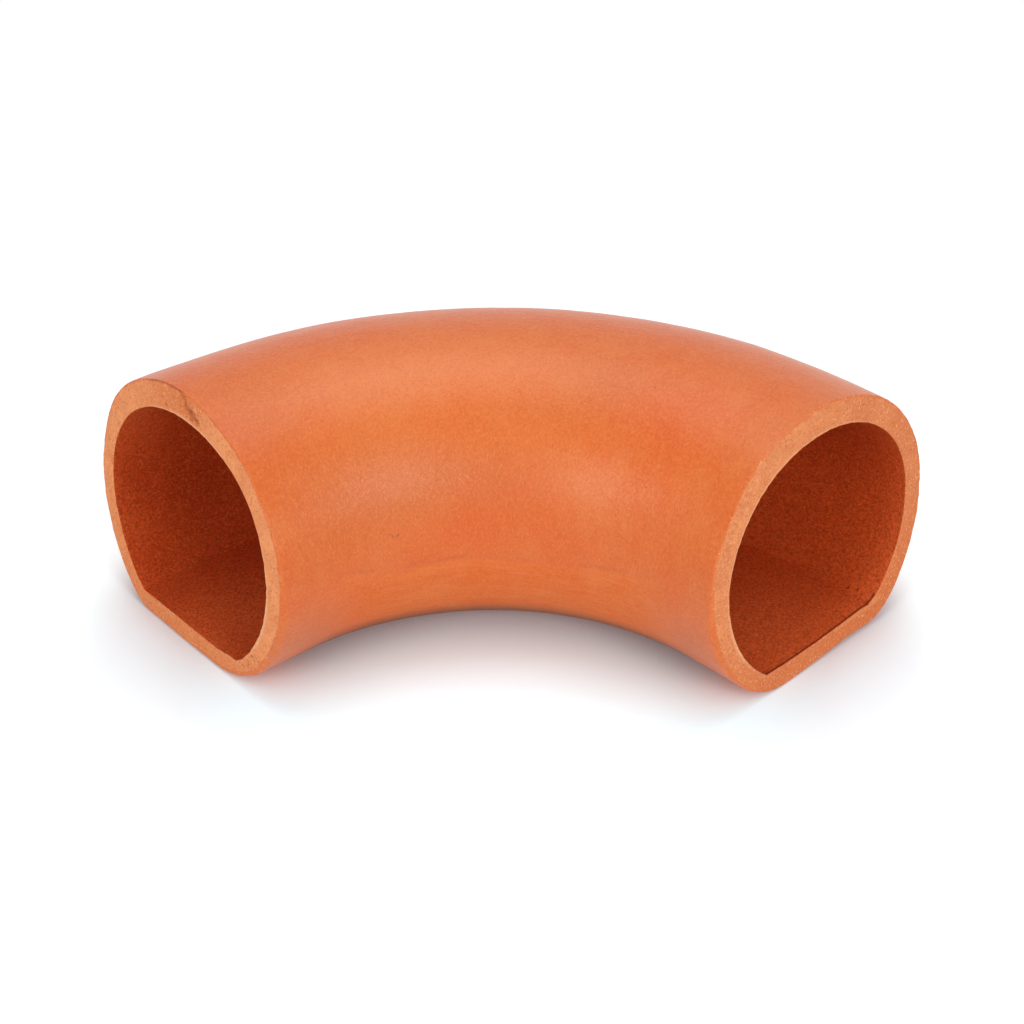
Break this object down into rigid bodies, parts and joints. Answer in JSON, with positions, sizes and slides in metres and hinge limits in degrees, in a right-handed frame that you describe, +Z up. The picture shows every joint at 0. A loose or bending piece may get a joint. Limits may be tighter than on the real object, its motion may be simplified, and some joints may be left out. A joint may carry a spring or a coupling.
{
  "type": "clay drain pipe bend",
  "caption": "Quarter-turn bend of unglazed clay drain pipe with plain cut ends, its section a round arch on a flat base, lying on that base.",
  "frame": {"origin": "on the underside of the flat base, below the middle of the bend", "axes": "+Z up from the flat base, +X along the bend's width from one end to the other, both ends open towards -Y"},
  "size_m": [0.3186, 0.1546, 0.1105],
  "materials": {
    "terracotta": "unglazed fired clay, matt"
  },
  "bodies": {
    "root": {"pipe_bend": "terracotta"}
  },
  "joints": []
}
